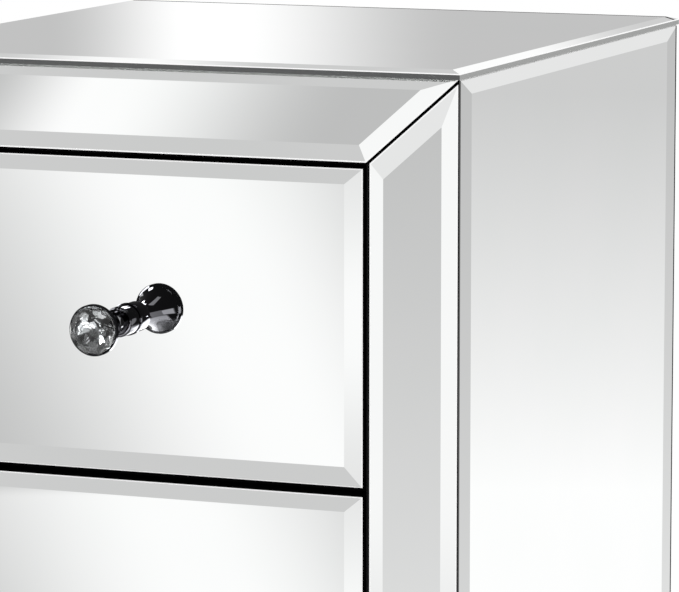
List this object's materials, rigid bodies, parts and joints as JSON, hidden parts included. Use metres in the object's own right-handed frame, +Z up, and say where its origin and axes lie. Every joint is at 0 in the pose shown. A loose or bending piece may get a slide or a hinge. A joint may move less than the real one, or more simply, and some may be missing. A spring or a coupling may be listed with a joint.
{
  "type": "mirrored end table",
  "caption": "Narrow end table faced with bevelled mirror panels, with a sloping mirrored front frame and stacked drawers with crystal knobs.",
  "frame": {"origin": "middle of the bounding box, on the floor", "axes": "+Z up; -Y to the front, the way the drawers open; +X to the right of someone who stands in front of the table and faces it, which is the picture's right"},
  "size_m": [0.376, 0.477, 0.6533],
  "materials": {
    "mirror": "bevelled silvered mirror glass",
    "black_lacquer": "satin black lacquer on fibreboard",
    "drawer_wood": "black stained wood, satin",
    "drawer_lining": "hardboard faced with black felt",
    "beech": "bare fluted beech",
    "zinc_steel": "zinc plated",
    "nylon": "moulded white nylon",
    "foot_plastic": "moulded black plastic",
    "dark_chrome": "polished dark chrome",
    "crystal": "clear cut glass"
  },
  "bodies": {
    "cabinet": {"right_side_board": "black_lacquer", "left_side_board": "black_lacquer", "sub_top_board": "black_lacquer", "bottom_board": "black_lacquer", "back_board": "black_lacquer", "carcass_dowels": "beech", "back_board_screws": "zinc_steel", "glide_feet": "foot_plastic", "foot_screws": "zinc_steel", "top_rail_moulding": "black_lacquer", "bottom_rail_moulding": "black_lacquer", "right_stile_moulding": "black_lacquer", "left_stile_moulding": "black_lacquer", "top_rail_mirror": "mirror", "bottom_rail_mirror": "mirror", "right_stile_mirror": "mirror", "left_stile_mirror": "mirror", "top_mirror": "mirror", "right_side_mirror": "mirror", "left_side_mirror": "mirror", "upper_bearer_rail": "black_lacquer", "upper_track": "zinc_steel", "middle_bearer_rail": "black_lacquer", "middle_track": "zinc_steel", "lower_bearer_rail": "black_lacquer", "lower_track": "zinc_steel", "track_brackets": "nylon", "track_screws": "zinc_steel", "glide_pads": "nylon"},
    "upper_drawer": {"upper_front_board": "black_lacquer", "upper_front_mirror": "mirror", "upper_right_side": "drawer_wood", "upper_left_side": "drawer_wood", "upper_drawer_back": "drawer_wood", "upper_drawer_bottom": "drawer_lining", "upper_track_guide": "nylon", "upper_knob_stem": "dark_chrome", "upper_knob_crystal": "crystal", "upper_knob_screw": "zinc_steel"},
    "middle_drawer": {"middle_front_board": "black_lacquer", "middle_front_mirror": "mirror", "middle_right_side": "drawer_wood", "middle_left_side": "drawer_wood", "middle_drawer_back": "drawer_wood", "middle_drawer_bottom": "drawer_lining", "middle_track_guide": "nylon", "middle_knob_stem": "dark_chrome", "middle_knob_crystal": "crystal", "middle_knob_screw": "zinc_steel"},
    "lower_drawer": {"lower_front_board": "black_lacquer", "lower_front_mirror": "mirror", "lower_right_side": "drawer_wood", "lower_left_side": "drawer_wood", "lower_drawer_back": "drawer_wood", "lower_drawer_bottom": "drawer_lining", "lower_track_guide": "nylon", "lower_knob_stem": "dark_chrome", "lower_knob_crystal": "crystal", "lower_knob_screw": "zinc_steel"}
  },
  "joints": [
    {"name": "upper_drawer_slide", "type": "slide", "parent": "cabinet", "child": "upper_drawer", "axis": [0, -1, 0], "range_m": [0, 0.28]},
    {"name": "middle_drawer_slide", "type": "slide", "parent": "cabinet", "child": "middle_drawer", "axis": [0, -1, 0], "range_m": [0, 0.28]},
    {"name": "lower_drawer_slide", "type": "slide", "parent": "cabinet", "child": "lower_drawer", "axis": [0, -1, 0], "range_m": [0, 0.28]}
  ]
}
